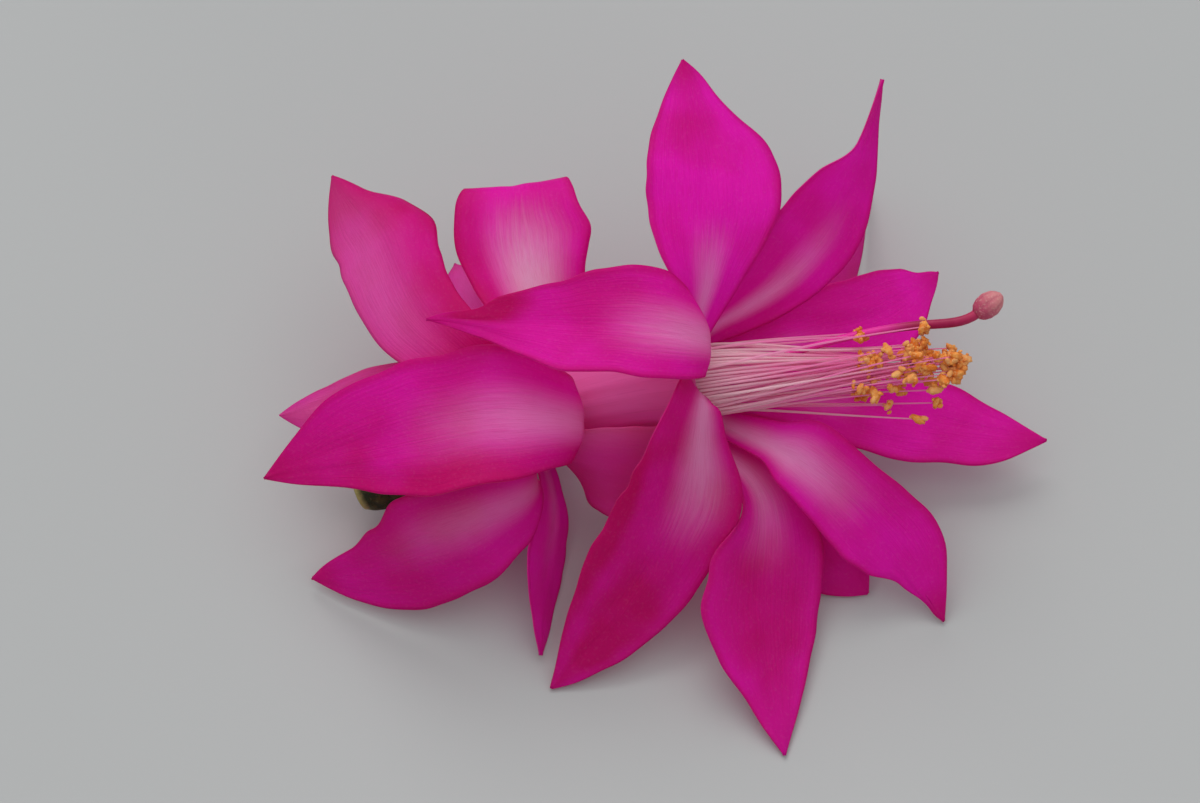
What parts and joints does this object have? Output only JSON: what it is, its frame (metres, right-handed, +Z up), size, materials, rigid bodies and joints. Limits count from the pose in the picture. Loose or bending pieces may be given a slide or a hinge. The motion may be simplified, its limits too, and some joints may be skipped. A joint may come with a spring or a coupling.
{
  "type": "christmas cactus flower",
  "caption": "Picked Christmas cactus flower lying on its side, with pointed magenta tepals in two tiers, a curved tube, a brush of stamens and a protruding style.",
  "frame": {"origin": "centre of the bounding box on the surface that the flower lies on", "axes": "+X along the flower from the ovary's end to the stigma, +Z up from the surface, +Y away from the picture's camera"},
  "size_m": [0.0792, 0.0668, 0.0334],
  "materials": {
    "ovary": "waxy, green-brown, with a pale broken end",
    "tube": "satin, pale pink with fine lengthwise veins",
    "tepal": "satin, thin and translucent, magenta with pale bases and fine lengthwise veins",
    "style": "satin, dark red",
    "stigma": "matte, pale pink",
    "stamen": "pale pink threads with matte golden anthers"
  },
  "bodies": {
    "root": {"ovary": "ovary", "floral_tube": "tube", "inner_tepal_top": "tepal", "inner_tepal_top_right": "tepal", "inner_tepal_far": "tepal", "inner_tepal_right": "tepal", "inner_tepal_low_right": "tepal", "inner_tepal_near_right": "tepal", "inner_tepal_hidden": "tepal", "inner_tepal_near": "tepal", "inner_tepal_near_left": "tepal", "inner_tepal_folded_back": "tepal", "outer_tepal_large": "tepal", "outer_tepal_near_left": "tepal", "outer_tepal_near": "tepal", "outer_tepal_under": "tepal", "outer_tepal_left": "tepal", "outer_tepal_far_left": "tepal", "outer_tepal_far": "tepal", "outer_tepal_behind": "tepal", "outer_tepal_prop": "tepal", "style": "style", "stigma": "stigma", "stamen_01": "stamen", "stamen_02": "stamen", "stamen_03": "stamen", "stamen_04": "stamen", "stamen_05": "stamen", "stamen_06": "stamen", "stamen_07": "stamen", "stamen_08": "stamen", "stamen_09": "stamen", "stamen_10": "stamen", "stamen_11": "stamen", "stamen_12": "stamen", "stamen_13": "stamen", "stamen_14": "stamen", "stamen_15": "stamen", "stamen_16": "stamen", "stamen_17": "stamen", "stamen_18": "stamen", "stamen_19": "stamen", "stamen_20": "stamen", "stamen_21": "stamen", "stamen_22": "stamen", "stamen_23": "stamen", "stamen_24": "stamen", "stamen_25": "stamen", "stamen_26": "stamen", "stamen_27": "stamen", "stamen_28": "stamen", "stamen_29": "stamen", "stamen_30": "stamen", "stamen_31": "stamen", "stamen_32": "stamen", "stamen_33": "stamen", "stamen_34": "stamen", "stamen_35": "stamen", "stamen_36": "stamen"}
  },
  "joints": []
}
